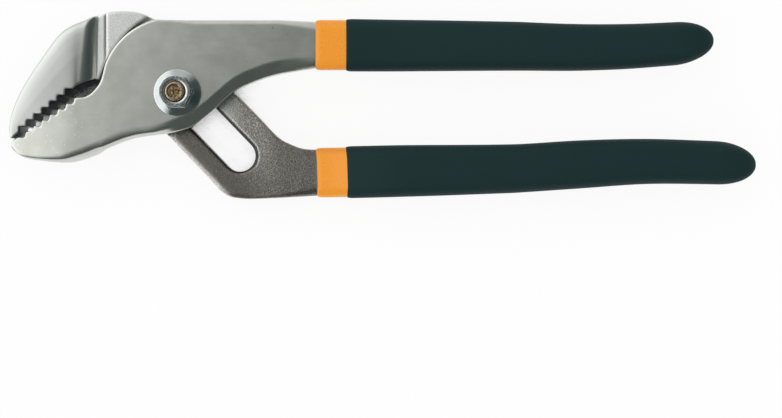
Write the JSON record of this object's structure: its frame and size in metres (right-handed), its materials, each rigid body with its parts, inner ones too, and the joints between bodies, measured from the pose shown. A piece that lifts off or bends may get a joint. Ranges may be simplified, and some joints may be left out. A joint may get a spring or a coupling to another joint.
{
  "type": "water pump pliers",
  "caption": "Slip-joint water pump pliers with stepped jaw teeth, a slotted half on a bolted pivot and double-dipped handles.",
  "frame": {"origin": "on the pivot axis, at the flat crown of the bolt head on which the tool lies", "axes": "+X from the jaws to the handles, +Y towards the upper handle, +Z along the pivot towards the nut"},
  "size_m": [0.2499, 0.0628, 0.0234],
  "materials": {
    "front_steel": "satin nickel plate over ground forging",
    "slotted_steel": "plated shot-blasted forging, jaw polished",
    "bolt_steel": "yellow zinc plated bolt with a peened end",
    "nut_chrome": "bright plated flange nut",
    "orange_dip": "smooth dipped vinyl",
    "dark_dip": "smooth dipped vinyl"
  },
  "bodies": {
    "front": {"front_half": "front_steel", "upper_handle_undercoat": "orange_dip", "upper_handle_grip": "dark_dip"},
    "pivot": {"pivot_bolt": "bolt_steel", "pivot_nut": "nut_chrome"},
    "slotted": {"slotted_half": "slotted_steel", "lower_handle_undercoat": "orange_dip", "lower_handle_grip": "dark_dip"}
  },
  "joints": [
    {"name": "jaw_swing", "type": "hinge", "parent": "front", "child": "pivot", "pos_m": [0, 0, 0.0106], "axis": [0, 0, -1], "range_deg": [0, 40]},
    {"name": "slot_adjust", "type": "slide", "parent": "pivot", "child": "slotted", "axis": [-0.6947, 0.7193, 0], "range_m": [0, 0.0238]}
  ]
}
